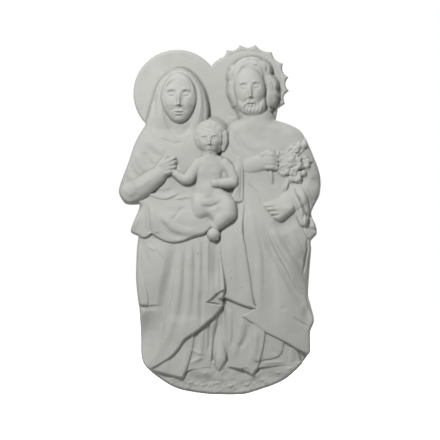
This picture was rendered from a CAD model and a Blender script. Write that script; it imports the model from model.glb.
import math

import bpy
import numpy as np
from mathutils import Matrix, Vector


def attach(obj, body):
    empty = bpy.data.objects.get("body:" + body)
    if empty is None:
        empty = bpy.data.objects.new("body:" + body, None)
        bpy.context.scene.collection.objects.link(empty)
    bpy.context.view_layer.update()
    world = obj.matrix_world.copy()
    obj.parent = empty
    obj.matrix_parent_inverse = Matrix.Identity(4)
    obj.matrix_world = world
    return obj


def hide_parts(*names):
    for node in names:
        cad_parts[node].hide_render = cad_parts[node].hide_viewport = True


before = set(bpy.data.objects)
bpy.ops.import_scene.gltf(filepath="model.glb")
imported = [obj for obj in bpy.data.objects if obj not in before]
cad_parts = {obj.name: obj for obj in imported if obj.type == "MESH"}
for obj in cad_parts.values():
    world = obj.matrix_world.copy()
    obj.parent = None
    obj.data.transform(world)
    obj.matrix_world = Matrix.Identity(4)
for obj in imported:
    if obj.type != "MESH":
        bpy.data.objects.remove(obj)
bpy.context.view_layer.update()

# Driving sizes in metres
reliefHeight = 0.300
discThickness = 0.0105
figureProjection = 0.0256
edgeRadius = 0.0026

# The sheet that the figures are drawn on, in its own units
sheetFoot = 1.4
sheetTop = 351.9
gridHalfWidth = 104
gridHeight = 355
highestLevel = 29.9
discLevel = 0.0
groundLevel = 6.0
bodyEdge = 3.0

# Metres to one unit, across the sheet and out of it
unit = reliefHeight / (sheetTop - sheetFoot)
depthUnit = figureProjection / highestLevel

middle = (sheetFoot + sheetTop) / 2
wholeSheet = slice(None)
tiny = 1e-6  # shorter than any stretch of an outline
sideReach = 6  # how far the steep side of a limb or dome is followed
massReach = 8  # and that of a whole body


def smoothCurve(points, closed=False, steps=6):
    knots = [np.array(point, float) for point in points]
    count = len(knots)
    curve = []
    for i in range(count if closed else count - 1):
        start, end = knots[i], knots[(i + 1) % count]
        chord = end - start
        span = np.hypot(*chord[:2])
        if span < tiny:
            continue
        before = knots[i - 1] if closed or i > 0 else start
        after = knots[(i + 2) % count] if closed or i + 2 < count else end
        # a point given twice makes a sharp corner
        leave = (end - before) / 2 if np.hypot(*(start - before)[:2]) > tiny else chord / 2
        arrive = (after - start) / 2 if np.hypot(*(after - end)[:2]) > tiny else chord / 2
        leave = leave * min(1.0, span / max(np.hypot(*leave[:2]), tiny))
        arrive = arrive * min(1.0, span / max(np.hypot(*arrive[:2]), tiny))
        pieces = max(2, min(steps, int(span / 1.5) + 1))
        for t in np.arange(pieces) / pieces:
            rise = t * t * (3 - 2 * t)
            curve.append(start + chord * rise + leave * t * (1 - t) ** 2 - arrive * t * t * (1 - t))
    if not closed:
        curve.append(knots[-1])
    return np.array(curve)


def ease(share):
    share = np.clip(share, 0, 1)
    return share * share * (3 - 2 * share)


def bulge(share):  # a quarter round, steep at its start
    return np.sqrt(np.clip(1 - np.clip(1 - share, 0, 1) ** 2, 0, 1))


def higher(first, second, fillet):  # the upper of two surfaces, rounded where they meet
    near = np.maximum(fillet - np.abs(first - second), 0) / fillet
    return np.maximum(first, second) + near * near * fillet / 4


def lower(first, second, fillet):
    return -higher(-first, -second, fillet)


# A height field over the sheet. Each method lays one kind of form on it.
class Relief:
    def __init__(self, halfWidth, height, step):
        self.step = step
        self.xs = np.arange(-halfWidth, halfWidth + step / 2, step)
        self.zs = np.arange(-2 * step, height + step / 2, step)
        self.x, self.z = np.meshgrid(self.xs, self.zs)
        self.level = np.zeros_like(self.x)

    def window(self, left, right, bottom, top):
        columns = np.searchsorted(self.xs, (left, right))
        rows = np.searchsorted(self.zs, (bottom, top))
        return slice(*rows), slice(*columns)

    def around(self, curve, reach):  # the part of the sheet within reach of a curve
        low, high = curve[:, :2].min(axis=0) - reach, curve[:, :2].max(axis=0) + reach
        return self.window(low[0], high[0], low[1], high[1])

    def along(self, curve, area, closed=False):  # distance, way along, side and carried values
        x, z = self.x[area], self.z[area]
        starts = curve if closed else curve[:-1]
        ends = np.roll(curve, -1, axis=0) if closed else curve[1:]
        lengths = np.maximum(np.hypot(*(ends - starts)[:, :2].T), 1e-9)
        reached = np.concatenate([[0], np.cumsum(lengths)[:-1]])
        nearest = np.full(x.shape, np.inf)
        share, side = np.zeros(x.shape), np.zeros(x.shape)
        carried = np.zeros((curve.shape[1] - 2, *x.shape))
        for start, end, length, run in zip(starts, ends, lengths, reached):
            stepX, stepZ = (end - start)[:2] / length
            offX, offZ = x - start[0], z - start[1]
            t = np.clip(offX * stepX + offZ * stepZ, 0, length)
            away = (offX - t * stepX) ** 2 + (offZ - t * stepZ) ** 2
            closer = away < nearest
            nearest[closer] = away[closer]
            share[closer] = (run + t[closer]) / lengths.sum()
            side[closer] = (stepX * offZ - stepZ * offX)[closer]
            for row, first, last in zip(carried, start[2:], end[2:]):
                row[closer] = first + (last - first) * t[closer] / length
        return np.sqrt(nearest), share, side, carried

    def inside(self, curve, area):  # distance to the outline, negative outside it
        x, z = self.x[area], self.z[area]
        distance = self.along(curve, area, closed=True)[0]
        within = np.zeros(x.shape, bool)
        for (x1, z1), (x2, z2) in zip(curve[:, :2], np.roll(curve[:, :2], -1, axis=0)):
            if z1 != z2:
                crossing = x1 + (x2 - x1) * (z - z1) / (z2 - z1)
                within ^= ((z1 > z) != (z2 > z)) & (x < crossing)
        return np.where(within, distance, -distance)

    def outlined(self, points, reach):
        curve = smoothCurve(points, closed=True)
        area = self.around(curve, reach)
        return area, self.inside(curve, area)

    def join(self, area, top, fillet):
        self.level[area] = higher(self.level[area], top, fillet)

    def fold(self, points, height, left, right=None, fade=(0.25, 0.25), power=1.7):
        curve = smoothCurve(points)
        right = left if right is None else right
        area = self.around(curve, max(left, right))
        distance, share, side, _ = self.along(curve, area)
        across = np.where(side >= 0, distance / left, distance / right)
        profile = np.clip(1 - across * across, 0, 1) ** power
        ends = ease(share / fade[0]) * ease((1 - share) / fade[1])
        self.level[area] += height * profile * ends

    def limb(self, points, flat=0.95, fillet=0.8, draft=3.0):
        curve = smoothCurve(points)
        area = self.around(curve, curve[:, 3].max() + sideReach)
        distance, _, _, (axis, radius) = self.along(curve, area)
        across = distance / radius
        top = axis + flat * radius * np.sqrt(np.clip(1 - across * across, 0, 1))
        top -= draft * np.maximum(distance - radius, 0)
        self.join(area, top, fillet)

    def oval(self, cx, cz, rx, rz, turn):
        reach = max(rx, rz) + sideReach
        area = self.window(cx - reach, cx + reach, cz - reach, cz + reach)
        cosine, sine = math.cos(math.radians(turn)), math.sin(math.radians(turn))
        x, z = self.x[area] - cx, self.z[area] - cz
        return area, (x * cosine + z * sine) / rx, (z * cosine - x * sine) / rz

    def dome(self, cx, cz, rx, rz, base, height, turn=0.0, fillet=0.8, draft=3.0):
        area, across, up = self.oval(cx, cz, rx, rz, turn)
        out = np.hypot(across, up)
        top = base + height * np.sqrt(np.clip(1 - out * out, 0, 1))
        top -= draft * np.maximum(out - 1, 0) * min(rx, rz)
        self.join(area, top, fillet)

    def swell(self, cx, cz, rx, rz, height, turn=0.0, power=2.0):
        area, across, up = self.oval(cx, cz, rx, rz, turn)
        self.level[area] += height * np.clip(1 - across * across - up * up, 0, 1) ** power

    def mass(self, points, surface, fillet=1.0, draft=3.0):
        area, edge = self.outlined(points, massReach)
        self.join(area, surface(self.x[area], self.z[area], edge) + draft * np.minimum(edge, 0), fillet)

    def sheet(self, points, thickness, hem=2.0, draft=3.0, melt=None):
        area, edge = self.outlined(points, thickness / draft + 1)
        rise = 0.5 + 0.5 * bulge(edge / hem)
        rise = np.where(edge < 0, np.clip(0.5 + edge * draft / thickness, 0, 1), rise)
        share = 1.0 if melt is None else melt(self.x[area], self.z[area])
        self.level[area] += thickness * rise * share

    # Cloth shaped over the bare body, laid on what is already there
    def lay(self, points, under, thickness, hem=2.0, draft=3.0, melt=None):
        area, edge = self.outlined(points, thickness / draft + 1)
        share = 1.0 if melt is None else melt(self.x[area], self.z[area])
        top = self.level[area] + thickness * (0.75 + 0.25 * bulge(edge / hem)) * share
        top += draft * np.minimum(edge, 0)
        self.level = under.copy()
        self.level[area] = np.where(edge > 0, top, np.maximum(under[area], top))

    def sink(self, points, depth, slope):
        area, edge = self.outlined(points, 1)
        self.level[area] -= depth * ease(edge / slope)


def arc(cx, cz, radius, start, end, count):
    angles = np.radians(np.linspace(start, end, count))
    return [(cx + radius * math.cos(a), cz + radius * math.sin(a)) for a in angles]


def rayedArc(cx, cz, tip, valley, angles):
    points = []
    for start, end in zip(angles[:-1], angles[1:]):
        for t in (0, 0.12, 0.3, 0.5, 0.7, 0.88):
            radius = tip - (tip - valley) * math.sin(math.pi * t) ** 0.8
            angle = math.radians(start + (end - start) * t)
            points.append((cx + radius * math.cos(angle), cz + radius * math.sin(angle)))
    return points


womanDisc = (-43, 303)
womanDiscRadius = 43.8
manDisc = (28, 311)
manDiscTip = 41.4
manDiscValley = 37.6
rayAngles = (-26, -7.5, 11.4, 32, 54.6, 79.6, 101, 120.6, 139)


def outerOutline():
    foot = [(-5, 1.5), (22, 1.7), (34, 4.5), (46, 8.5), (57, 12.5), (66, 17.5), (74, 24.5), (80, 30),
            (87, 40)]
    right = [(89.8, 45), (90, 65), (93.3, 73), (93.6, 79), (90, 93), (88, 101), (89, 118), (91, 148),
             (90.5, 155), (95.5, 160.5), (96.8, 164), (95.5, 171), (91, 182), (95, 192), (99.5, 201),
             (100.8, 213), (99, 225), (92, 243), (86, 256), (80, 265.5), (70, 271.3), (56, 276), (56, 276),
             (58, 288)]
    rays = rayedArc(*manDisc, manDiscTip, manDiscValley, rayAngles)
    web = [(-1, 336.5), (-4, 335.5), (-8.7, 330.5)]
    disc = arc(*womanDisc, womanDiscRadius, 38.5, 224, 24)[1:]
    left = [(-74.5, 271), (-74.5, 271), (-84, 255), (-92, 232), (-100.3, 210), (-100.6, 202), (-95, 192.8),
            (-90, 191.3), (-80.2, 191.8), (-80.2, 191.8), (-81.5, 185), (-88.5, 168), (-88, 163),
            (-81.2, 160), (-81.2, 160), (-83, 145), (-83.6, 118), (-82, 100), (-80, 84), (-79, 60),
            (-78.5, 42), (-75, 31), (-65, 21), (-50, 11), (-40, 6.7), (-28, 4), (-12, 2)]
    parts = (smoothCurve(foot + right, steps=4), rays, web, disc, smoothCurve(left, steps=4))
    return np.concatenate([np.array(part) for part in parts])


def discs(r):
    area = r.window(-10, 80, 280, 356)
    out = np.hypot(r.x[area] - manDisc[0], r.z[area] - manDisc[1])
    r.level[area] -= 0.7 * np.exp(-((out - 34.5) / 1.4) ** 2) * ease((r.x[area] - 4) / 10)


def ripple(r, area, size, height, seed):  # smooth unevenness, the same for the same seed
    chance = np.random.default_rng(seed)
    x, z = r.x[area] / size + 100, r.z[area] / size + 100
    corners = chance.uniform(-1, 1, (256, 256))
    column, row = np.floor(x).astype(int) % 255, np.floor(z).astype(int) % 255
    across, up = ease(x % 1), ease(z % 1)
    low = corners[row, column] * (1 - across) + corners[row, column + 1] * across
    high = corners[row + 1, column] * (1 - across) + corners[row + 1, column + 1] * across
    return height * (low * (1 - up) + high * up)


def ground(r):
    area = r.window(-95, 100, -5, 60)
    edge = r.inside(outerOutline(), area)
    level = groundLevel + 8.5 * bulge(edge / 4) - 0.06 * np.clip(edge, 0, 30)
    level -= 40 * ease((r.z[area] - 33) / 18)
    level += ripple(r, area, 12, 1.3, 3) + ripple(r, area, 5.5, 0.6, 5)
    r.join(area, level, 1.0)
    pebbles = ((-14, 24, 2.4, 1.7), (-30, 14, 4.2, 2.2), (-16, 12, 4.6, 2.2), (-3, 13.5, 3.8, 2.0),
               (10, 11, 5.0, 2.2), (27, 12, 4.0, 2.0), (42, 17, 4.6, 2.4), (58, 24, 2.8, 2.0),
               (-47, 18, 3.4, 2.0), (69, 28, 3.0, 2.0))
    for cx, cz, rx, rz in pebbles:
        r.swell(cx, cz, rx, rz, 1.1, turn=12)
    for cx, cz, rx in ((60, 27, 26), (-20, 26, 15)):
        r.swell(cx, cz, rx, 9, 2.6)


def rounded(cx, half, rise, reach, hemReach=3.0, neck=0.0):

    def surface(x, z, edge):
        across = bodyEdge + rise * np.sqrt(np.clip(1 - ((x - cx) / half) ** 2, 0, 1))
        near = reach - (reach - hemReach) * ease((68 - z) / 30)
        shoulder = bodyEdge - 2 + (rise + 4) * bulge(edge / near)
        return lower(across, shoulder, 3) - neck * ease((z - 244) / 46)

    return surface


def pillow(base, rise, reach):
    def surface(x, z, edge):
        return base + rise * bulge(edge / reach)

    return surface


def manBody(r):
    outline = [(12, 274), (4, 256), (-6, 230), (-8, 200), (-8, 100), (-1, 66), (6, 46), (8, 29), (8, 29),
               (22, 26.5), (33, 20.5), (33, 20.5), (38, 27), (53, 29), (67, 30.5), (80, 31), (80, 31),
               (91, 45), (93, 65), (96, 78), (90, 100), (93, 148), (93, 157), (98.5, 164), (93.5, 182),
               (102, 202), (103, 213), (94, 243), (85, 262), (70, 271.5), (56, 276), (40, 280)]
    r.mass(outline, rounded(44, 56, 14, 17), fillet=2, draft=2)


def womanBody(r):
    outline = [(-10, 256), (-20, 272), (-60, 272), (-74, 271.5), (-85, 255), (-94, 232), (-102, 210),
               (-103, 201), (-97, 190), (-81, 190), (-85, 182), (-91, 166), (-84, 158), (-85, 145),
               (-85.5, 118), (-84, 100), (-82, 84), (-81, 60), (-80, 42), (-75, 31), (-68, 26), (-68, 26),
               (-55, 22), (-38, 18), (-38, 18), (-35, 20), (-33, 24), (-20, 27), (-8, 28.5), (-8, 28.5),
               (-7, 42), (-3, 62), (4, 84), (6, 150), (6, 200), (0, 236)]
    r.mass(outline, rounded(-40, 54, 14, 17, neck=5), fillet=2, draft=2)


manMantleEdge = [(22.3, 80.6), (22.3, 80.6), (28, 76.5), (36, 71.5), (44.5, 65.2), (55, 59.8), (66, 54.5),
                 (78, 47.5), (90, 42), (90, 42), (93, 65), (96, 78), (90, 100), (93, 148), (96, 160),
                 (92, 190), (60, 230), (24, 230), (24, 160), (30, 110), (36, 90), (36, 90), (30, 85.5)]
manPanelEdge = [(-6, 99.5), (5, 99), (12, 96), (22, 91.8), (35.6, 88), (35.6, 88), (33.8, 92), (32.2, 102),
                (30.5, 115.5), (28, 132), (25.6, 148.5), (22.3, 166), (24, 204), (10, 204), (-6, 190)]
womanMantleEdge = [(-81, 164), (-85, 140), (-85.5, 118), (-84, 100), (-82, 84), (-81, 60), (-80, 42),
                   (-77, 34), (-70.5, 27.2), (-70.5, 27.2), (-60, 33), (-50, 39.5), (-42, 48),
                   (-35.5, 57.5), (-29, 62), (-20, 68.5), (-12, 75.5), (-5, 81.5), (2.5, 91), (2.5, 91),
                   (2.4, 99), (4.5, 107.5), (3.5, 120), (1, 137), (-2, 165), (-8, 190), (-60, 190)]


def manTunic(r):
    swelling = [(36, 90), (66, 70), (62.5, 50), (61.5, 44.5), (56, 39.5), (44, 37), (34, 37)]
    r.sheet(swelling, 1.6, hem=4)
    flap = [(45, 72), (43.5, 53), (40.5, 40), (37, 28), (33.7, 20.3), (33.7, 20.3), (28, 23), (20, 27),
            (8, 29), (0, 31), (-2, 60), (0, 130), (40, 130)]
    r.sheet(flap, 2.0, melt=lambda x, z: ease((x - 2) / 16))
    r.fold([(7, 92), (9, 66), (9, 44)], 1.2, 4)
    r.fold([(14, 90), (14, 66), (11, 46)], -1.3, 3)
    r.fold([(21, 84), (21, 68), (15, 48), (12, 34)], 1.4, 5)
    r.fold([(29, 76), (27, 60), (18, 46)], -1.4, 4)
    r.fold([(36, 70), (34, 50), (30, 30)], 1.3, 5)
    r.fold([(20, 26), (26, 27.5), (31, 23)], -1.2, 2.5)
    r.fold([(77, 48), (80, 41), (82.5, 33)], -1.8, 2)
    r.fold([(70, 50), (72, 42), (71, 33)], 0.8, 4)
    r.swell(85, 40, 7, 12, -3.2)
    r.fold([(41, 33), (52, 34.5), (66, 35)], 0.8, 2.5)
    r.fold([(46, 58), (50, 48), (58, 41)], -0.8, 3)


def womanTunic(r):
    flap = [(-82, 30), (-68, 26), (-55, 22.3), (-45, 19.5), (-37.3, 18.2), (-37.3, 18.2), (-34, 26),
            (-30.5, 36), (-27.5, 48), (-25.5, 66), (-26, 100), (-84, 100)]
    r.sheet(flap, 2.0)
    r.fold([(-54, 42), (-54, 22)], 0.8, 5)
    r.fold([(-31, 50), (-34, 36), (-38, 21)], 0.6, 4)
    r.fold([(-29, 48), (-22, 44), (-14, 42)], 0.9, 2.4)
    r.fold([(-31, 33), (-23, 37), (-15, 40)], 0.9, 2.6)
    r.fold([(-18, 74), (-19, 52), (-24, 30)], 1.1, 4)
    r.fold([(-11, 76), (-10.5, 60), (-11, 44)], -1.5, 2.2)
    r.fold([(-7, 80), (-7, 56), (-10, 30)], 1.0, 4)
    r.fold([(-2, 84), (-2.5, 66), (-5, 46)], -1.3, 2.4)
    r.fold([(3, 96), (3, 72), (0, 50)], -2.6, 3.5)


def manMantle(r):
    under, r.level = r.level, r.bare.copy()
    folds = (([(27, 205), (33, 168), (38.5, 140), (39, 110), (39, 72)], 1.3, 5, 5),
             ([(47, 160), (50, 122), (52, 92), (54, 64)], -1.0, 7, 9),
             ([(42, 180), (47, 160), (57, 139), (66, 123), (74, 108), (82, 94), (89, 79), (91, 70)],
              -3.0, 2.6, 7),
             ([(50, 178), (56, 158), (66, 140), (78, 123), (86, 110), (91, 96)], 2.2, 5, 4),
             ([(62, 162), (69, 149), (77, 138), (84, 127)], -1.5, 4, 4),
             ([(70, 166), (77, 151), (84, 139)], 0.9, 4, 4),
             ([(90, 160), (86.7, 155), (87, 147), (85, 138), (84, 128), (82, 119)], -2.4, 1.8, 1.8),
             ([(71, 113), (78, 106), (85, 98)], -0.5, 3, 3),
             ([(60, 120), (64, 92), (70, 60)], 0.8, 10, 10),
             ([(72.6, 80.5), (79, 75), (91, 68.5)], -1.1, 1.6, 3))
    for points, height, left, right in folds:
        r.fold(points, height, left, right, fade=(0.3, 0.3))
    r.swell(63.5, 88, 4, 4, -0.5)
    r.swell(88, 84, 8, 16, -1.6, turn=-20)
    r.swell(98, 112, 26, 46, -9.0, turn=24)
    r.lay(manMantleEdge, under, 4.4, melt=lambda x, z: ease((215 - z) / 60))
    under, r.level = r.level, r.bare.copy()
    r.fold([(29, 92), (27, 115), (22, 148), (19, 176)], 0.7, 4, 6, fade=(0.1, 0.3))
    r.fold([(20, 94), (19, 120), (15, 150)], -0.6, 4)
    r.fold([(10, 97), (11, 125), (11, 160)], 0.5, 6)
    r.lay(manPanelEdge, under, 6.4, melt=lambda x, z: ease((212 - z) / 50) * ease((x + 5) / 7))


def womanMantle(r):
    under, r.level = r.level, r.bare.copy()
    r.swell(-63, 126, 19, 42, 3.2, turn=-6)
    r.swell(-74, 60, 15, 34, -9.5, turn=-13)
    drape = [(-85, 144), (-80, 128), (-74.5, 112), (-71.5, 97), (-72, 91.5), (-72, 91.5), (-80, 92),
             (-92, 97), (-92, 140)]
    r.sheet(drape, 2.4, hem=3, melt=lambda x, z: ease((136 - z) / 30))
    r.fold([(-84, 91.5), (-76, 90), (-66, 90.3), (-54, 91)], -1.4, 1.6, 5, fade=(0.1, 0.5))
    r.fold([(-79, 158), (-74, 142), (-70, 130)], -0.7, 4)
    r.fold([(-72, 151), (-68, 148), (-64, 146)], 0.7, 2.4)
    r.fold([(-68, 156), (-60, 145), (-53, 134), (-47, 124)], 0.8, 3, 5, fade=(0.4, 0.3))
    r.fold([(-65, 150), (-57, 138), (-48, 124)], -0.9, 2.2, fade=(0.4, 0.4))
    folds = (([(-42.5, 158), (-45.5, 140), (-48, 125), (-51.5, 110), (-54, 94), (-55.5, 79), (-59, 59),
               (-64, 46), (-70, 37.5), (-79, 33)], -2.8, 2.6, 9),
             ([(-39, 156), (-40.5, 120), (-44, 92), (-49, 70), (-56, 50), (-66, 36)], 1.2, 5, 4),
             ([(-34.5, 156), (-35, 112), (-38, 82), (-43, 58)], -0.8, 4, 4),
             ([(-30, 156), (-30.5, 120), (-31.5, 92), (-35, 64)], 0.8, 4, 4),
             ([(-26.5, 156), (-24.5, 138), (-25, 112), (-27, 80)], -0.9, 4, 3),
             ([(-21, 158), (-21, 130), (-22, 92)], 0.7, 4, 4),
             ([(-17, 162), (-17, 140), (-17.5, 112)], -0.6, 3.4, 3.4),
             ([(-18.5, 108), (-18, 88), (-18, 68)], -1.5, 2.6, 4.5),
             ([(-12.5, 166), (-12.5, 140), (-12.5, 120), (-12.5, 94)], 1.5, 3, 3),
             ([(-7.5, 160), (-6.5, 130), (-5, 102)], -0.8, 3.4, 3.4),
             ([(0, 108), (-1, 130), (-3, 158)], 0.9, 3, 3),
             ([(-14, 94.4), (-6, 93), (2.5, 91.6)], -1.6, 1.0, 1.0))
    for points, height, left, right in folds:
        r.fold(points, height, left, right, fade=(0.25, 0.3))

    def drawn(x, z):
        front = 0.55 * ease((x + 9) / 8) * ease((z - 110) / 25)
        foot = 0.35 * ease((x + 60) / 16) * ease((84 - z) / 12)
        return ease((185 - z) / 40) * (1 - front + foot)

    r.lay(womanMantleEdge, under, 4.4, melt=drawn)
    edge = [(4.5, 107.5), (4.5, 107.5), (-3, 103), (-8, 98.5), (-14, 94), (-14, 94), (-16, 110), (-18, 150),
            (-10, 172), (-2, 165), (1, 137), (3.5, 120)]
    r.sheet(edge, 3.2, hem=1.6, melt=lambda x, z: ease((x + 17) / 10) * (1 - 0.75 * ease((z - 106) / 20)))


def womanApron(r):
    under, r.level = r.level, r.bare.copy()
    outline = [(-81, 193), (-83, 184), (-90, 168), (-89, 163), (-81, 160), (-74, 158.6), (-68, 163),
               (-68, 163), (-62, 158.6), (-52, 154.3), (-40, 154.4), (-25, 160), (-14, 164), (-6, 175),
               (-10, 210), (-34, 215), (-60, 215), (-80, 210)]
    r.swell(-50, 176, 32, 20, 1.6)
    r.fold([(-71.5, 192), (-71.5, 176), (-69, 163)], -1.8, 2.2, 3.5, fade=(0.3, 0.05))
    r.fold([(-80, 190), (-84, 176), (-86, 164)], 1.2, 3.5)
    r.fold([(-68, 192), (-66, 176), (-62, 162)], 1.3, 4, fade=(0.3, 0.1))
    r.fold([(-48, 174), (-42, 182), (-36, 189)], -1.0, 3, 2)
    r.fold([(-60, 186), (-48, 170), (-30, 164), (-18, 168)], 1.3, 6, 5)
    r.fold([(-66, 196), (-54, 186), (-40, 186), (-26, 190)], -0.8, 4)
    r.fold([(-60, 178), (-50, 163), (-34, 159)], -0.9, 4)
    r.lay(outline, under, 7.0, hem=2.4, melt=lambda x, z: ease((208 - z) / 34))


def womanBodice(r):
    r.swell(-46, 234, 28, 22, 2.0)
    r.fold([(-76, 203), (-66, 200), (-56, 197.5), (-48, 199.5), (-40, 204)], 1.6, 3, 1.8, fade=(0.12, 0.2))
    r.fold([(-76, 208), (-64, 204.5), (-52, 204), (-44, 210)], -1.0, 3.5)
    r.fold([(-46, 198), (-40, 197.5), (-34, 199), (-27, 198)], 1.2, 2.6, 1.8)
    r.fold([(-76, 259), (-66, 250), (-52, 244)], 0.8, 6)
    r.fold([(-74, 250), (-64, 240), (-54, 236)], -0.7, 5)
    r.fold([(-60, 257), (-54, 255), (-46, 252), (-36, 254)], -0.6, 2)


def womanArm(r):
    r.limb([(-73, 256, -5, 12), (-80, 238, -3, 15), (-86, 218, -2, 16), (-87, 206, -2, 15)], fillet=7)
    sleeve = [(-90, 203, 7, 11.5), (-81, 206.5, 12, 11), (-71, 213.5, 15, 9.8), (-62, 220, 16.5, 8.4)]
    r.limb(sleeve, fillet=1)
    r.fold([(-76, 245), (-71, 234), (-66, 228)], -1.0, 4)
    r.fold([(-84, 244), (-79, 231), (-72, 223)], 1.0, 4)
    r.fold([(-90, 234), (-86, 223), (-78, 218)], -1.1, 4)
    r.fold([(-96, 222), (-91, 213), (-84, 214)], -0.9, 4)
    r.fold([(-97, 205), (-90, 198), (-80, 203)], -0.8, 3.5)
    r.fold([(-86, 207), (-76, 212), (-68, 219)], 0.7, 4)
    r.limb([(-64, 219, 17, 6.8), (-59, 223.5, 17.5, 7.4), (-54.5, 227.5, 17, 6.8)], flat=0.7, fillet=1.5)
    for k, tip in enumerate(((-45.6, 238), (-44.6, 233.6), (-45, 229), (-47, 224.6))):
        r.limb([(-58.5 + 0.6 * k, 230.5 - 2.8 * k, 19.5, 2.7), (-52 + 0.3 * k, 234 - 3.4 * k, 21, 2.5),
                (*tip, 19.5, 1.9)], fillet=0.9)
    r.limb([(-61, 228, 18.5, 2.8), (-57, 234, 19.5, 2.5), (-53.5, 238.5, 18.5, 1.9)], fillet=0.8)
    r.swell(-42.6, 231.5, 3, 7, -2.6)


def manChest(r):
    r.fold([(9, 268), (14, 260), (20, 251), (28, 239)], -1.0, 5, 1.4, fade=(0.3, 0.3))
    r.fold([(6, 262), (11, 254), (17, 246), (25, 235)], 0.9, 5, fade=(0.3, 0.4))
    r.swell(46, 238, 30, 28, 1.6)
    r.fold([(20, 262), (30, 250), (44, 247)], 0.6, 5)
    r.fold([(26, 268), (36, 257), (50, 254)], -0.6, 5)
    r.fold([(56, 268), (64, 256), (74, 248)], -0.7, 6)
    r.fold([(66, 268), (76, 256), (84, 240)], 0.7, 6)


def manRightArm(r):
    cuff = [(13, 209), (10, 200), (12, 195), (14, 192.3), (21, 192), (24.5, 195), (24.7, 215), (25, 240.5),
            (25, 240.5), (17, 241.5), (12, 232), (8, 220)]

    def sleeve(x, z, edge):
        tuck = 3 * ease((z - 226) / 13) + 6 * ease((17 - x) / 8) * ease((z - 218) / 12)
        return rounded(15, 22, 17, 4)(x, z, edge) - tuck

    r.limb([(16, 229, 9, 8), (25, 229.5, 13.6, 8), (34, 231, 16, 8.2), (48, 235, 17.5, 8.4)], flat=0.55)
    r.mass(cuff, sleeve, fillet=0.8)
    r.fold([(21.5, 236), (21.3, 215), (20.5, 195)], -0.7, 1.8, fade=(0.3, 0.1))
    r.fold([(16, 230), (16.5, 214), (15, 198)], 0.8, 4)
    r.dome(49.5, 235, 8.2, 8.6, 17, 6.2, turn=-10)
    for k in range(4):
        z = 241 - 4.0 * k
        r.limb([(46.5, z - 0.6, 19.8, 2.4), (51.5, z - 0.2, 20.8, 2.5), (56, z - 1.6, 19, 2.2)], fillet=1)
    r.limb([(42, 240.5, 18.5, 2.8), (47, 243, 19.5, 2.5), (52, 243, 19, 2.0)], fillet=1)


def blossom(r, cx, cz, size, base, turn, petals):
    for k in range(petals):
        vary = math.sin(2.4 * k + turn)
        angle = math.radians(turn + 360 * k / petals + 9 * vary)
        reach = size * (1 + 0.16 * vary)
        ux, uz = reach * math.cos(angle), reach * math.sin(angle)
        lift = base + 0.8 * math.sin(1.7 * k + cx)
        r.limb([(cx + ux * 0.15, cz + uz * 0.15, lift, size * 0.26),
                (cx + ux * 0.6, cz + uz * 0.6, lift + 0.6, size * (0.42 + 0.05 * vary)),
                (cx + ux * 0.92, cz + uz * 0.92, lift - 1, size * 0.2)], flat=0.7, fillet=0.4)
        vein = [(cx + ux * 0.2, cz + uz * 0.2), (cx + ux * 0.8, cz + uz * 0.8)]
        r.fold(vein, -0.5, size * 0.2, fade=(0.2, 0.4))
    r.dome(cx, cz, size * 0.17, size * 0.17, base + 1, 1.3, fillet=0.5)


def flowers(r):
    r.limb([(50, 226, 17, 2.0), (50.8, 219, 17.5, 1.9), (51.2, 213, 16.5, 1.6)], fillet=0.4)
    r.dome(67, 233, 12, 12, 14, 5, fillet=3)
    r.dome(78, 232, 11, 14, 10, 5, fillet=2)
    r.limb([(60, 229, 17, 1.7), (72, 236, 16, 1.7), (82, 246, 13, 1.7)], fillet=0.4)
    blossom(r, 61.5, 238, 8.5, 16.5, 75, 5)
    blossom(r, 71.5, 243.5, 8.0, 15, 20, 5)
    blossom(r, 63.5, 226.5, 8.5, 16.5, 40, 5)
    blossom(r, 83.5, 234, 8.0, 12.5, 10, 5)
    blossom(r, 74.5, 221, 9.0, 16, 12, 5)
    blossom(r, 74.5, 232, 8.5, 17.5, 50, 5)
    buds = ((78.5, 250, 78, 6.4), (83.8, 251.5, 70, 6.4), (68, 213.5, -70, 4.4), (83, 222.5, -50, 4.6))
    for x, z, turn, length in buds:
        ux, uz = length * math.cos(math.radians(turn)), length * math.sin(math.radians(turn))
        r.limb([(x - ux, z - uz, 12, 1.8), (x, z, 14, 3.2), (x + ux, z + uz, 12, 1.0)], fillet=0.3)
    r.limb([(68, 216, 16, 1.4), (64.5, 208, 16, 2.8), (62.5, 201, 15, 1.2)], fillet=0.5)
    r.fold([(67, 215), (64.5, 208), (63, 202)], -0.7, 1)


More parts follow.
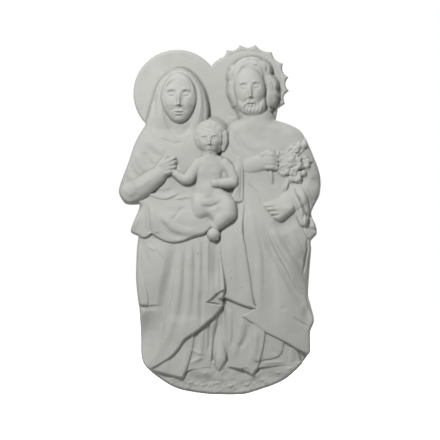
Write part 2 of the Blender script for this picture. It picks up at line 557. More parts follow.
def manLeftArm(r):
    r.limb([(78, 258, -4, 12), (87, 232, -3, 14), (89, 212, -2, 14), (85, 198, 2, 12)], fillet=5)
    r.swell(94, 207, 8, 16, -3.4, turn=-12)
    r.fold([(26, 213), (33, 205.5), (40, 197.5), (42.5, 189)], -1.2, 3.5, 1.3, fade=(0.25, 0.25))
    r.swell(64, 172, 18, 11, -3.0, turn=20)
    forearm = [(88, 206, 4, 12), (78, 200.5, 9, 12), (70, 194.5, 12.5, 11), (64, 189, 13.5, 9.5)]
    r.limb(forearm, flat=0.8, fillet=5)
    lobe = [(68, 218), (72, 204), (74.5, 190), (77, 178), (80.5, 171), (84.5, 170.5), (87.5, 177),
            (88, 188), (86, 198), (82, 207), (76, 218)]

    def gathered(x, z):
        return ease((214 - z) / 28) * ease((x - 70 - 0.12 * (z - 170)) / 10)

    r.sheet(lobe, 6.5, hem=7, melt=gathered)
    r.fold([(71, 212), (74, 203), (77.5, 193), (80.5, 184), (82, 176)], 1.8, 2.4, 2.8, fade=(0.3, 0.2))
    r.fold([(76, 203), (80.5, 195), (84, 187), (87.5, 178)], -3.0, 1.8, 2.2, fade=(0.3, 0.1))
    r.swell(89, 177, 4.5, 9, -4.5, turn=10)
    end = [(84, 180), (83.5, 166), (87, 158.5), (91, 156.5), (96, 159), (99.5, 164), (97, 173), (93, 182)]
    r.sheet(end, 2.8, hem=2, melt=lambda x, z: ease((184 - z) / 8))
    r.fold([(86, 171), (91, 167.5), (98, 165)], -1.6, 1.6, 2.4)
    hand = [(42.5, 191.8), (44.6, 187), (48.8, 181.4), (53.4, 176.4), (59.5, 174.4), (66, 178.4),
            (74, 186), (74, 196), (60, 200), (49, 196)]

    def knuckles(x, z, edge):
        return 16.5 + 7 * bulge(edge / 6) - 5 * ease((z - 187) / 11)

    r.mass(hand, knuckles, fillet=2)
    for tip, knuckle in ((45, 188.4), (58, 189)), ((47.4, 184.2), (59, 184.8)), ((50.8, 179.8), (60, 180.4)):
        r.fold([tip, ((tip[0] + knuckle[0]) / 2, tip[1] + 0.7), knuckle], -1.5, 1.5, fade=(0.1, 0.5))


def child(r):
    trunk = [(-27, 229), (-24, 236), (-17, 240.5), (-10, 242), (-3, 241), (4.5, 237), (7, 231), (3, 223),
             (2, 212), (5, 200), (4, 190), (-12, 186), (-27, 190), (-27.5, 202), (-24, 214), (-25, 222)]

    def flesh(x, z, edge):
        across = 11 + 12 * np.sqrt(np.clip(1 - ((x + 10.5) / 20) ** 2, 0, 1))
        return lower(across, 13 + 12 * bulge(edge / 6), 3) - 2 * ease((z - 230) / 12)

    r.mass(trunk, flesh, fillet=1)
    r.swell(-11, 205, 12, 12, 2.0)
    r.swell(-19, 224, 8, 7, 0.9)
    r.swell(-3, 224, 8, 7, 0.9)
    lap = [(-27, 209), (-29, 199), (-29.5, 189), (-26, 181.5), (-20.5, 177), (-13, 176.8), (-9, 174),
           (-6, 168), (0, 166.5), (7.5, 170.5), (13.6, 178.3), (16, 187), (14, 196), (10, 204), (2, 209),
           (-12, 211)]

    def lapped(x, z, edge):
        return 14 + 11 * bulge(edge / 8) - 9 * ease((z - 196) / 14)

    r.mass(lap, lapped, fillet=2)
    r.limb([(-12, 199, 16, 8), (-19, 190, 18.5, 8.6), (-20, 185, 18.5, 8)], fillet=4)
    r.limb([(-2, 199, 17, 9), (6, 190, 20.5, 9.6), (7.5, 183, 21, 9)], fillet=4)
    r.limb([(7, 182, 20.5, 8.6), (1, 176, 21, 7), (-4, 170, 20, 5)], fillet=3)
    r.fold([(-11.5, 185), (-10.5, 179), (-8, 173)], -1.2, 3.0, 3.0, fade=(0.5, 0.3))
    r.fold([(-21, 191), (-11, 189), (-3, 192), (4, 197.5)], -1.3, 2.2, 3.4, fade=(0.3, 0.4))
    r.fold([(-25, 200), (-14, 197), (-4, 200)], -0.8, 3, fade=(0.3, 0.4))
    r.dome(-6.6, 162, 6.4, 6.4, 19, 7.5, turn=20, fillet=1)
    for k in range(4):
        r.dome(-10 + 2.3 * k, 157.2 + 0.3 * abs(k - 1.5), 1.4, 1.5, 20, 3.0, fillet=0.6)
    r.limb([(-21, 232, 16, 6), (-26.5, 224.5, 18, 5.8), (-31, 218, 19.5, 5.6), (-36.5, 217, 20, 4.6),
            (-43.5, 221.5, 20, 3.6)], fillet=1.2)
    for k in range(3):
        r.limb([(-42, 222.4 - 1.6 * k, 21.5, 1.4), (-46, 224.8 - 1.9 * k, 21.5, 1.1)], fillet=0.5)
    r.mass([(2, 231), (7, 231), (14, 218), (12, 212), (1, 212)], pillow(18, 1.5, 2), fillet=2)
    r.limb([(4, 232, 17, 5.0), (10, 225.5, 18.5, 5.0), (13.6, 217, 20, 4.8)], fillet=1.2)
    r.limb([(13.2, 213.8, 20.5, 4.9), (5, 212.8, 22, 4.5), (-3, 212.6, 23, 3.9)], fillet=1.2)
    r.dome(-5, 212.5, 4.4, 4.2, 23, 4.0, fillet=0.8)
    for k in range(3):
        r.limb([(-4, 214.6 - 2.1 * k, 25, 1.3), (-7.6, 214.4 - 2.1 * k, 24.6, 1.2)], fillet=0.6)
    r.limb([(-10.5, 248, 15, 7), (-10.5, 240, 15, 7.4)], flat=0.9, fillet=3)


def face(r, cx, cz, halfWidth, halfHeight, base, rise, turn):
    cosine, sine = math.cos(math.radians(turn)), math.sin(math.radians(turn))
    size = halfWidth / 16

    def at(across, up):
        x, z = across * halfWidth, up * halfHeight
        return cx + x * cosine - z * sine, cz + x * sine + z * cosine

    def swell(across, up, rx, rz, height, power=2.0):
        r.swell(*at(across, up), rx * halfWidth, rz * halfHeight, height * size, turn, power)

    def fold(shares, height, reach, fade=(0.3, 0.3)):
        r.fold([at(*share) for share in shares], height * size, reach * size, fade=fade)

    area, across, up = r.oval(cx, cz, halfWidth, halfHeight, turn)
    out = np.hypot(across / (1 - 0.24 * np.clip(-up, 0, 1.2) ** 1.4), up)
    top = base + rise * np.clip(1 - out ** 2.2, 0, 1) ** 0.5 - 3 * np.maximum(out - 1, 0) * halfWidth
    r.join(area, top, 0.8)
    for side in (-1, 1):
        swell(0.42 * side, 0.165, 0.36, 0.20, -2.0)
        swell(0.42 * side, 0.15, 0.21, 0.105, 1.2, power=1.1)
        fold([(0.22 * side, 0.105), (0.42 * side, 0.065), (0.62 * side, 0.115)], -0.6, 0.8)
        fold([(0.21 * side, 0.20), (0.42 * side, 0.265), (0.64 * side, 0.20)], -0.4, 0.9)
        fold([(0.12 * side, 0.27), (0.38 * side, 0.36), (0.72 * side, 0.26)], 0.9, 2.6)
        swell(0.46 * side, -0.24, 0.34, 0.30, 1.1)
        swell(0.16 * side, -0.30, 0.12, 0.075, 1.4)
        fold([(0.24 * side, -0.38), (0.40 * side, -0.56)], -0.4, 1.8)
    fold([(0, 0.34), (0, 0.05), (0, -0.30)], 1.2, 4.6, fade=(0.6, 0.05))
    fold([(0, 0.30), (0, 0.05), (0, -0.30)], 2.0, 2.4, fade=(0.5, 0.02))
    swell(0, -0.275, 0.16, 0.10, 1.5)
    fold([(0, -0.38), (0, -0.48)], -0.4, 1.2)
    upperLip = [(-0.34, -0.575), (-0.08, -0.53), (0, -0.54), (0.08, -0.53), (0.34, -0.575)]
    fold(upperLip, 1.2, 1.5, fade=(0.4, 0.4))
    fold([(-0.26, -0.63), (0, -0.655), (0.26, -0.63)], 1.3, 1.7, fade=(0.45, 0.45))
    fold([(-0.34, -0.58), (-0.1, -0.585), (0.1, -0.585), (0.34, -0.58)], -0.9, 0.8, fade=(0.25, 0.25))
    swell(0, -0.72, 0.22, 0.05, -0.5)
    swell(0, -0.86, 0.30, 0.14, 1.2)
    return at


def womanVeil(r):
    outline = [(-80, 262), (-73, 276), (-68.5, 292), (-64, 307), (-59.5, 315.5), (-52, 322.5), (-43, 326.8),
               (-34.5, 326.3), (-24.5, 319), (-16, 306), (-12, 290), (-12, 277), (-14, 262), (-24, 246),
               (-34, 240), (-52, 244), (-74, 252)]

    def hood(x, z, edge):
        return 4.5 + 3 * bulge(edge / 3) + 8.5 * bulge(edge / 22) - 9 * ease((286 - z) / 60)

    r.mass(outline, hood, fillet=2.5)
    opening = [(-41, 321.5), (-50.5, 317), (-57, 306), (-59, 290), (-57, 274), (-51, 262), (-40, 257),
               (-29, 263), (-23, 280), (-22, 296), (-25.5, 310), (-32, 319)]
    r.sink(opening, 2.4, 5)
    groove = [(-68, 300), (-62, 313.5), (-52, 323.8), (-43, 328), (-34, 327.5), (-23.5, 320),
              (-14.8, 306.5), (-10.8, 291), (-10.8, 279)]
    r.fold(groove, -1.7, 1.2, fade=(0.5, 0.03))
    rim = [(-52, 246), (-58, 264), (-61.5, 288), (-59, 307), (-51.5, 319), (-41, 323.5), (-30.5, 319.5),
           (-22, 309), (-19, 296), (-20.5, 280), (-26, 262), (-30, 246)]
    r.fold(rim, 1.1, 2.4, fade=(0.35, 0.35))
    r.fold([(-64.5, 306), (-65, 290), (-66, 272), (-69, 256)], -1.1, 1.8, 3, fade=(0.2, 0.4))
    r.fold([(-68, 292), (-71, 278), (-75, 262)], 0.7, 2.5, fade=(0.3, 0.4))
    r.fold([(-16.5, 300), (-15.5, 285), (-18, 268), (-24, 250)], -0.7, 2.4)


def womanHead(r):
    r.limb([(-41, 286, 3, 10), (-40.5, 268, 3.5, 9.5), (-40, 250, 0, 11)], flat=0.95, fillet=5)
    at = face(r, -41, 297.5, 17.6, 24.8, 14.5, 8.0, 0)
    for side in (-1, 1):
        for k in range(3):
            lock = [at(0.02 * side, 0.90 - 0.06 * k), at(0.40 * side, 0.79 - 0.05 * k),
                    at((0.78 - 0.03 * k) * side, 0.48), at((0.95 - 0.03 * k) * side, 0.06)]
            r.fold(lock, 0.8, 1.4, fade=(0.35, 0.4))


def childHead(r):
    cx, cz = -10, 258.3
    r.mass(arc(cx, cz, 17.6, 0, 330, 12), pillow(11, 10.5, 12), fillet=1)
    for k in range(15):
        angle = math.radians(-48 + 19.5 * k)
        ux, uz = math.cos(angle), math.sin(angle)
        sway = 1.6 * math.sin(2.1 * k)
        middleX, middleZ = cx + 13.2 * ux - sway * uz, cz + 13.2 * uz + sway * ux
        lock = [(cx + 9.4 * ux, cz + 9.4 * uz), (middleX, middleZ), (cx + 17 * ux, cz + 17 * uz)]
        r.fold(lock, 0.5, 2.8, fade=(0.25, 0.4))
    r.limb([(4.4, 262, 16, 2.6), (5.2, 254, 16, 2.4), (3.0, 246.5, 14.5, 1.8)], fillet=0.8)
    r.fold([(1.4, 265), (2.6, 255), (0.4, 246.5)], -1.8, 1.4, fade=(0.3, 0.3))
    face(r, -10.6, 255.2, 11.8, 13.8, 17.5, 7.5, 3)


def manHead(r):
    r.limb([(33, 284, 6, 14), (37, 274, 4, 17), (38, 260, 0, 16)], flat=0.8, fillet=5)
    hair = [(10, 297), (8.6, 302), (9.4, 307), (8, 312), (9.2, 318), (9, 324), (14, 331), (21, 337),
            (31, 339.5), (41, 337), (48, 331), (49, 325), (52, 320), (55.5, 314), (55.4, 308), (58, 302),
            (56, 295), (50, 287), (40, 284), (24, 284), (14, 290)]

    def crown(x, z, edge):
        return 3.5 + 3 * bulge(edge / 2.5) + 8 * bulge(edge / 16) - 4 * ease((292 - z) / 14)

    r.mass(hair, crown, fillet=0.8)
    combed = ([(30, 338), (21, 335), (13.5, 328), (12, 317)],
              [(29, 333), (20, 329), (16, 319), (15.5, 308)],
              [(30, 337.5), (39, 336), (45, 330), (47, 322)],
              [(30, 332.5), (38, 331.5), (43, 326), (44.5, 317)],
              [(22, 337.5), (28, 338.8), (36, 338), (43, 334.5)])
    for lock in combed:
        r.fold(lock, 1.8, 3.2, 2.8, fade=(0.25, 0.3))
    curls = ([(14, 327), (11.6, 320), (13.2, 313), (12, 306)],
             [(12.4, 310), (12, 303), (15, 297.5), (15.5, 292)],
             [(16.6, 319), (15.6, 311), (17, 303), (16.6, 296), (19.5, 290)],
             [(42.5, 332), (47.5, 327.5), (48, 321), (52, 315)],
             [(49, 318), (54, 312.5), (53.5, 306.5), (55.5, 301)],
             [(45.5, 322), (49, 314), (46.6, 307), (50, 300)],
             [(51, 309), (50, 302), (54, 297), (51, 291.5)],
             [(46, 305), (49, 297), (46, 291), (48.5, 286)])
    for lock in curls:
        r.limb([(*point, 9.5 - 0.6 * k, 2.9 - 0.2 * k) for k, point in enumerate(lock)], fillet=0.6)
    r.fold([(40.5, 331), (43.5, 320), (45.6, 309), (44.6, 298), (46, 287)], -3.4, 3, 1.8, fade=(0.3, 0.2))
    at = face(r, 29.8, 305, 15.0, 23.5, 13.5, 8.5, 4)
    beard = [(16, 303), (17.5, 291), (21.5, 284), (27, 280), (35, 279.3), (41.5, 281.5), (45, 288),
             (45, 300), (41, 297), (36, 292.5), (29, 291.5), (22, 295)]

    def fullBeard(x, z, edge):
        return 13.5 + 7.5 * bulge(edge / 7) - 3.5 * ease((z - 288) / 12)

    r.mass(beard, fullBeard, fillet=2.5)
    for k in range(8):
        x = 19 + 3.5 * k
        top = 295 - 3 * math.sin(math.pi * k / 7)
        r.fold([(x, top), (x + 1.2, 289), (x - 0.2, 284), (7.5 + x * 0.75, 281)], 0.9, 1.9, fade=(0.3, 0.3))
    for side in (-1, 1):
        moustache = [at(share * side, up) for share, up in ((0.03, -0.44), (0.22, -0.50), (0.46, -0.62),
                                                            (0.52, -0.75))]
        r.fold(moustache, 1.4, 2.0, fade=(0.2, 0.35))


def shoes(r):
    r.limb([(2, 92, 4, 6), (1.5, 70, 5, 8), (0, 48, 8, 9), (-0.5, 36, 9, 8)], flat=0.7, fillet=3)
    shoe = [(1, 62, 9, 3), (0.8, 48, 12, 4.4), (0.4, 38, 13.8, 5.6), (-0.2, 30, 13.6, 4.6),
            (-0.8, 24.5, 12.6, 2.6)]
    r.limb(shoe, flat=0.8, fillet=0.8)
    r.fold([(-0.5, 24), (3, 31), (8, 37.5)], -1.2, 1.6, 2.4, fade=(0.2, 0.4))
    r.fold([(-1.5, 24), (-4.5, 30), (-6.5, 38)], -1.0, 2, 1.4, fade=(0.2, 0.4))


# From back to front: discs, ground, the standing bodies in their cloth, then what lies over both
def sculpt(step):
    r = Relief(gridHalfWidth, gridHeight, step)
    r.level[:] = discLevel
    figures = ((manBody, (manTunic, manMantle)), (womanBody, (womanTunic, womanMantle, womanApron, shoes)))
    discs(r)
    ground(r)
    for body, clothes in figures:
        body(r)
        r.bare = r.level.copy()
        for cloth in clothes:
            cloth(r)
    for shape in (womanBodice, manChest, manLeftArm, flowers, manRightArm, womanVeil, womanHead, womanArm,
                  child, childHead, manHead):
        shape(r)
    return r, r.inside(outerOutline(), wholeSheet)


def keptCells(edge):
    centre = (edge[:-1, :-1] + edge[1:, :-1] + edge[:-1, 1:] + edge[1:, 1:]) / 4
    kept = centre > 0
    while True:  # no two cells may meet only at a corner
        a, b, c, d = kept[:-1, :-1], kept[1:, :-1], kept[:-1, 1:], kept[1:, 1:]
        rising = a & d & ~b & ~c
        falling = b & c & ~a & ~d
        if not rising.any() and not falling.any():
            return kept
        kept[1:, :-1] |= rising
        kept[:-1, :-1] |= falling


def frontMesh(r, edge):
    kept = keptCells(edge)
    cornersKept = np.pad(kept, 1).astype(int)
    around = cornersKept[:-1, :-1] + cornersKept[1:, :-1] + cornersKept[:-1, 1:] + cornersKept[1:, 1:]
    slopeZ, slopeX = np.gradient(edge, r.step)
    steep = np.maximum(np.hypot(slopeX, slopeZ), 0.5)
    shift = np.where((around > 0) & (around < 4), -edge / steep ** 2, 0)  # the rim moves onto the outline
    x = r.x + shift * slopeX
    z = r.z + shift * slopeZ
    inward = np.where(around < 4, 0, np.maximum(edge, 0)) * unit
    rolled = edgeRadius * (1 - bulge(inward / edgeRadius))
    depth = discThickness + r.level * depthUnit - rolled
    used = around > 0
    index = np.full(used.shape, -1)
    index[used] = np.arange(used.sum())
    rows, columns = np.nonzero(kept)
    faces = np.stack([index[rows, columns], index[rows, columns + 1], index[rows + 1, columns + 1],
                      index[rows + 1, columns]], axis=1)
    points = np.stack([x[used] * unit, -depth[used], (z[used] - middle) * unit], axis=1)
    mesh = bpy.data.meshes.new("front")
    mesh.from_pydata(points.tolist(), [], faces.tolist())
    return mesh


def decimated(mesh, triangles):
    holder = bpy.data.objects.new("front", mesh)
    bpy.context.scene.collection.objects.link(holder)
    modifier = holder.modifiers.new("Decimate", "DECIMATE")
    modifier.ratio = min(1.0, triangles / (2 * len(mesh.polygons)))
    graph = bpy.context.evaluated_depsgraph_get()
    result = bpy.data.meshes.new_from_object(holder.evaluated_get(graph))
    bpy.data.objects.remove(holder)
    return result


def rimLoop(mesh):  # the points round the open edge, in order
    count = len(mesh.loops)
    starts = np.empty(count, int)
    mesh.loops.foreach_get("vertex_index", starts)
    ends = np.empty(count, int)
    for polygon in mesh.polygons:
        first, total = polygon.loop_start, polygon.loop_total
        ends[first:first + total] = np.roll(starts[first:first + total], -1)
    pairs = set(zip(starts.tolist(), ends.tolist()))
    after = {start: end for start, end in pairs if (end, start) not in pairs}
    first = min(after)
    loop = [first]
    while after[loop[-1]] != first:
        loop.append(after[loop[-1]])
    return loop


def closedBody(front):  # straight side walls and a flat back at y = 0
    points = [tuple(vertex.co) for vertex in front.vertices]
    faces = [tuple(polygon.vertices) for polygon in front.polygons]
    ring = rimLoop(front)
    count = len(ring)
    rings = [ring]
    for share in (0.3, 0.65, 1.0):  # rings down the side wall, the last one at the back
        base = len(points)
        points += [(points[k][0], points[k][1] * (1 - share), points[k][2]) for k in ring]
        rings.append([base + k for k in range(count)])
    for upper, under in zip(rings[:-1], rings[1:]):
        for k in range(count):
            after = (k + 1) % count
            faces.append((upper[after], upper[k], under[k], under[after]))
    faces.append(tuple(reversed(rings[-1])))
    mesh = bpy.data.meshes.new("plaster_relief")
    mesh.from_pydata(points, [], faces)
    mesh.validate()
    return mesh


class Socket:
    def __init__(self, tree, socket):
        self.tree = tree
        self.socket = socket

    def math(self, operation, first, second):
        return self.tree.node("ShaderNodeMath", {"operation": operation}, [first, second])

    def __add__(self, other):
        return self.math("ADD", self, other)

    def __radd__(self, other):
        return self.math("ADD", other, self)

    def __sub__(self, other):
        return self.math("SUBTRACT", self, other)

    def __rsub__(self, other):
        return self.math("SUBTRACT", other, self)

    def __mul__(self, other):
        return self.math("MULTIPLY", self, other)

    def __rmul__(self, other):
        return self.math("MULTIPLY", other, self)

    def clip(self):
        return self.tree.node("ShaderNodeClamp", {}, [self])


class Tree:
    def __init__(self, tree):
        self.tree = tree

    def node(self, kind, settings=None, inputs=None, out=0):
        made = self.tree.nodes.new(kind)
        for name, value in (settings or {}).items():  # settings come first, since they change the sockets
            setattr(made, name, value)
        pairs = inputs.items() if isinstance(inputs, dict) else enumerate(inputs or [])
        for name, value in pairs:
            if isinstance(value, Socket):
                self.tree.links.new(value.socket, made.inputs[name])
            else:
                made.inputs[name].default_value = value
        return Socket(self, made.outputs[out])

    def mix(self, share, first, second):  # colours, whose sockets go by number
        return self.node("ShaderNodeMix", {"data_type": "RGBA"}, {0: share, 6: first, 7: second}, out=2)

    def noise(self, place, scale, detail, roughness):
        return self.node("ShaderNodeTexNoise", {}, {"Vector": place, "Scale": scale, "Detail": detail,
                                                    "Roughness": roughness})

    def ramp(self, value, low, high):
        return self.node("ShaderNodeMapRange", {"interpolation_type": "SMOOTHSTEP"},
                         {"Value": value, "From Min": low, "From Max": high})


plasterLook = {
    "base": (0.475, 0.477, 0.455, 1),
    "pale": (0.53, 0.533, 0.513, 1),
    "warm": (0.46, 0.457, 0.42, 1),
    "grime": (0.23, 0.228, 0.21, 1),
    "chalk": (0.68, 0.68, 0.665, 1),
    "cloud": (14, 4, 0.6),  # scale, detail and roughness of each noise
    "tint": (31, 3, 0.55),
    "wear": (180, 3, 0.6),
    "grain": (900, 3, 0.7),
    "swell": (120, 3, 0.5),
    "dotScale": 210,  # pits and specks
    "dotEdge": (0.06, 0.16),
    "paleFrom": (0.42, 0.68),  # where each tone starts and where it is full
    "warmFrom": (0.52, 0.72),
    "chalkFrom": (0.35, 0.7),
    "pitFrom": (0.955, 0.965),  # few cells have a pit, and fewer a speck
    "speckFrom": (0.965, 0.975),
    "warmShare": 0.55,
    "grimeShare": (0.33, 0.45),  # everywhere in a hollow, and more in patches
    "chalkShare": 0.6,
    "pitShare": 0.75,
    "speckShare": 0.7,
    "roughness": (0.80, 0.12, 0.06),  # all over, more in cloudy places, less on worn ridges
    "specular": 0.3,
    "bumpHeights": (0.35, 1.1, 2.2, 0.8),  # grain, swell, pits and specks
    "bumpStrength": 0.35,
    "bumpDepth": 0.0006,
    "hollows": ((0.9, 0.14, 0.9), (2.6, 0.7, 3.8)),  # reach, start and full depth; for ridges too
    "plainRim": (0.5, 3),  # no darkening so near the outline, and the width over which it sets in
    "groundTop": (26, 8),  # below this there is less of it, and the height over which that sets in
    "groundShare": 0.5,
    "paintedFrom": 0.0085,  # the side walls behind this depth are left plain
}


def plasterMaterial():
    look = plasterLook
    material = bpy.data.materials.new("cast_plaster")
    material.use_nodes = True
    tree = Tree(material.node_tree)
    shader = material.node_tree.nodes["Principled BSDF"]
    place = tree.node("ShaderNodeTexCoord", out=3)
    cloud = tree.noise(place, *look["cloud"])
    colour = tree.mix(tree.ramp(cloud, *look["paleFrom"]), look["base"], look["pale"])
    tint = tree.noise(place, *look["tint"])
    colour = tree.mix(look["warmShare"] * tree.ramp(tint, *look["warmFrom"]), colour, look["warm"])
    cavity = tree.node("ShaderNodeAttribute", {"attribute_name": "cavity"}, out=2)
    ridge = tree.node("ShaderNodeAttribute", {"attribute_name": "ridge"}, out=2)
    broken = tree.noise(place, *look["wear"])
    everywhere, patches = look["grimeShare"]
    colour = tree.mix((cavity * (everywhere + patches * broken)).clip(), colour, look["grime"])
    worn = (ridge * tree.ramp(broken, *look["chalkFrom"]) * look["chalkShare"]).clip()
    colour = tree.mix(worn, colour, look["chalk"])
    dots = {"Vector": place, "Scale": look["dotScale"]}
    cells = tree.node("ShaderNodeTexVoronoi", {"feature": "F1"}, dots)
    chance = tree.node("ShaderNodeTexVoronoi", {"feature": "F1"}, dots, out=1)
    pick = tree.node("ShaderNodeSeparateColor", {}, {"Color": chance})
    other = tree.node("ShaderNodeSeparateColor", {}, {"Color": chance}, out=1)
    dot = 1 - tree.ramp(cells, *look["dotEdge"])
    pit = dot * tree.ramp(pick, *look["pitFrom"])
    speck = dot * tree.ramp(other, *look["speckFrom"])
    colour = tree.mix((pit * look["pitShare"]).clip(), colour, look["grime"])
    colour = tree.mix((speck * look["speckShare"]).clip(), colour, look["chalk"])
    material.node_tree.links.new(colour.socket, shader.inputs["Base Color"])
    matt, cloudy, polished = look["roughness"]
    rough = matt + cloudy * cloud - polished * ridge
    material.node_tree.links.new(rough.socket, shader.inputs["Roughness"])
    shader.inputs["Specular IOR Level"].default_value = look["specular"]
    grain = tree.noise(place, *look["grain"])
    swell = tree.noise(place, *look["swell"])
    fine, broad, deep, raised = look["bumpHeights"]
    height = fine * grain + broad * swell - deep * pit + raised * speck
    bump = tree.node("ShaderNodeBump", {}, {"Strength": look["bumpStrength"], "Distance": look["bumpDepth"],
                                            "Height": height})
    material.node_tree.links.new(bump.socket, shader.inputs["Normal"])
    return material


def blurred(field, reach, step):
    half = max(1, int(round(3 * reach / step)))
    weights = np.exp(-((np.arange(-half, half + 1) * step) ** 2) / (2 * reach * reach))
    weights /= weights.sum()
    for axis in (0, 1):
        total = np.zeros_like(field)
        for offset, weight in zip(range(-half, half + 1), weights):
            total += weight * np.roll(field, offset, axis)
        field = total
    return field


def paint(mesh, r, edge):  # hollows and ridges, kept on the points for the material
    look = plasterLook
    height = np.where(edge > 0, r.level, 0)
    cavity = np.zeros_like(height)
    ridge = np.zeros_like(height)
    for reach, low, high in look["hollows"]:
        soft = blurred(height, reach, r.step)
        cavity = np.maximum(cavity, ease((soft - height - low) / (high - low)))
        ridge = np.maximum(ridge, ease((height - soft - low) / (high - low)))
    rimStart, rimFade = look["plainRim"]
    groundTop, groundFade = look["groundTop"]
    inner = ease((edge - rimStart) / rimFade)
    inner = inner * (1 - look["groundShare"] * ease((groundTop - r.z) / groundFade))
    places = np.empty(len(mesh.vertices) * 3, np.float32)
    mesh.vertices.foreach_get("co", places)
    places = places.reshape(-1, 3)
    column = np.clip((places[:, 0] / unit - r.xs[0]) / r.step, 0, len(r.xs) - 1.001)
    row = np.clip((places[:, 2] / unit + middle - r.zs[0]) / r.step, 0, len(r.zs) - 1.001)
    left, below = column.astype(int), row.astype(int)
    across, up = column - left, row - below
    front = places[:, 1] < -look["paintedFrom"]
    for name, field in (("cavity", cavity * inner), ("ridge", ridge * inner)):
        value = (field[below, left] * (1 - across) + field[below, left + 1] * across) * (1 - up)
        value += (field[below + 1, left] * (1 - across) + field[below + 1, left + 1] * across) * up
        layer = mesh.attributes.new(name, "FLOAT", "POINT")
        layer.data.foreach_set("value", np.where(front, value, 0).astype(np.float32))


plaque = {
    "step": 0.5,  # between two points of the sculpt
    "triangles": 179000,  # left on the front
    "cutReach": 2.0,  # a thin cut runs this far out below each overlap
    "cutFrom": 3.0,  # steps lower than this have none
    "cutMost": 6.0,
    "cutShare": 0.6,
    "cutSoftness": 0.6,
    "cutRim": (2, 4),  # none so near the outline, and the width over which the cuts set in
    "unevenness": ((7, 0.10, 21), (2.6, 0.06, 22)),  # size, height and seed of each ripple
    "roughGround": ((3.1, 0.4, 23), (1.5, 0.25, 24)),
    "roughTop": 26,
    "roughFade": 14,
}


def fineRelief(r, edge):
    shift = int(round(plaque["cutReach"] / r.step))
    above = np.roll(r.level, (-shift, shift), (0, 1))  # what stands up and to the left of each place
    rimStart, rimFade = plaque["cutRim"]
    cut = np.clip(above - r.level - plaque["cutFrom"], 0, plaque["cutMost"])
    cut = cut * ease((edge - rimStart) / rimFade)
    r.level -= plaque["cutShare"] * blurred(cut, plaque["cutSoftness"], r.step)
    r.level += sum(ripple(r, wholeSheet, *wave) for wave in plaque["unevenness"])
    rough = ease((plaque["roughTop"] - r.z) / plaque["roughFade"])
    r.level += rough * sum(ripple(r, wholeSheet, *wave) for wave in plaque["roughGround"])


def buildRelief():
    r, edge = sculpt(plaque["step"])
    print("relief sculpted, highest level", round(float(r.level.max()), 2))
    fineRelief(r, edge)
    body = closedBody(decimated(frontMesh(r, edge), plaque["triangles"]))
    print("relief meshed, faces", len(body.polygons))
    paint(body, r, edge)
    back = max(body.polygons, key=lambda polygon: polygon.area)
    for polygon in body.polygons:
        polygon.use_smooth = polygon.index != back.index  # smoothing would shade the flat back unevenly
    body.materials.append(plasterMaterial())
    piece = bpy.data.objects.new("plaster_relief", body)
    bpy.context.scene.collection.objects.link(piece)
    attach(piece, "root")
    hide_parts("holy_family_relief")


studio = {
    "floorHeight": -0.19,
    "floorSize": 6.0,
    "floorColour": (0.93, 0.93, 0.925, 1),
    "floorRoughness": 0.9,
    "worldColour": (1.0, 1.0, 1.0, 1),
    "floorGlow": 0.9,
    "worldStrength": 1.0,
    "ambient": 0.26,
    "key": {"at": (-0.24, -0.64, 0.46), "size": 0.12, "power": 5.1, "colour": (1.0, 1.0, 0.985)},
    "top": {"at": (0.0, -0.3, 2.2), "size": 2.0, "power": 6, "colour": (1, 1, 1)},
    "rear": {"at": (0.9, 1.5, 0.8), "size": 1.2, "power": 24, "colour": (1, 1, 1)},
}


def light(name, place, size, power, colour):
    lamp = bpy.data.lights.new(name, "AREA")
    lamp.shape = "SQUARE"
    lamp.size = size
    lamp.energy = power
    lamp.color = colour
    holder = bpy.data.objects.new(name, lamp)
    holder.location = place
    holder.rotation_euler = (Vector((0, 0, 0)) - Vector(place)).to_track_quat("-Z", "Y").to_euler()
    bpy.context.scene.collection.objects.link(holder)


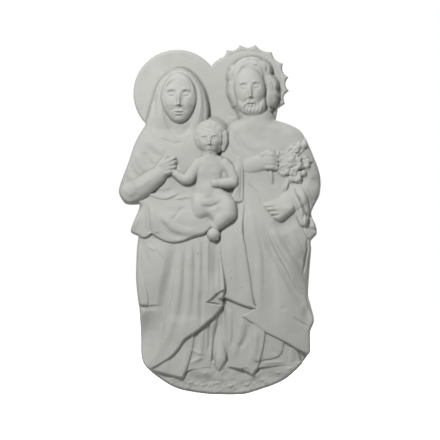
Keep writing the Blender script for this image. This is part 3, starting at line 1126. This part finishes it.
def buildStudio():
    mesh = bpy.data.meshes.new("floor")
    half = studio["floorSize"] / 2
    level = studio["floorHeight"]
    corners = [(-half, -half, level), (half, -half, level), (half, half, level), (-half, half, level)]
    mesh.from_pydata(corners, [], [(0, 1, 2, 3)])
    material = bpy.data.materials.new("floor_paper")
    material.use_nodes = True
    shader = material.node_tree.nodes["Principled BSDF"]
    shader.inputs["Base Color"].default_value = studio["floorColour"]
    shader.inputs["Roughness"].default_value = studio["floorRoughness"]
    shader.inputs["Emission Color"].default_value = studio["floorColour"]
    shader.inputs["Emission Strength"].default_value = studio["floorGlow"]
    mesh.materials.append(material)
    floor = bpy.data.objects.new("floor", mesh)
    floor.visible_diffuse = False
    bpy.context.scene.collection.objects.link(floor)
    world = bpy.data.worlds.new("studio")
    world.use_nodes = True
    bpy.context.scene.world = world
    tree = Tree(world.node_tree)
    seen = tree.node("ShaderNodeLightPath")  # full strength where the camera sees it, dim as a light
    back = world.node_tree.nodes["Background"]
    strength = studio["ambient"] + (studio["worldStrength"] - studio["ambient"]) * seen
    back.inputs["Color"].default_value = studio["worldColour"]
    world.node_tree.links.new(strength.socket, back.inputs["Strength"])
    for name in ("key", "top", "rear"):
        lamp = studio[name]
        light(name, lamp["at"], lamp["size"], lamp["power"], lamp["colour"])


viewpoint = {
    "lens": 180.0,  # a long lens, square on
    "sensor": 36.0,
    "frameUnits": 440,  # the picture's width on the sheet
    "aimUnits": 176,
    "planeDepth": 0.014,  # the depth at which the frame has that width
    "reach": 50,
}


def buildCamera():
    distance = viewpoint["lens"] / viewpoint["sensor"] * viewpoint["frameUnits"] * unit
    camera = bpy.data.cameras.new("camera")
    camera.lens = viewpoint["lens"]
    camera.sensor_width = viewpoint["sensor"]
    camera.clip_end = viewpoint["reach"]
    holder = bpy.data.objects.new("camera", camera)
    holder.location = (0, -distance - viewpoint["planeDepth"], (viewpoint["aimUnits"] - middle) * unit)
    holder.rotation_euler = (math.radians(90), 0, 0)
    bpy.context.scene.collection.objects.link(holder)
    bpy.context.scene.camera = holder


buildStudio()
print("studio built")
buildCamera()
print("camera placed")
buildRelief()
print("relief finished")
bpy.context.scene.view_settings.view_transform = "Standard"
bpy.context.view_layer.update()
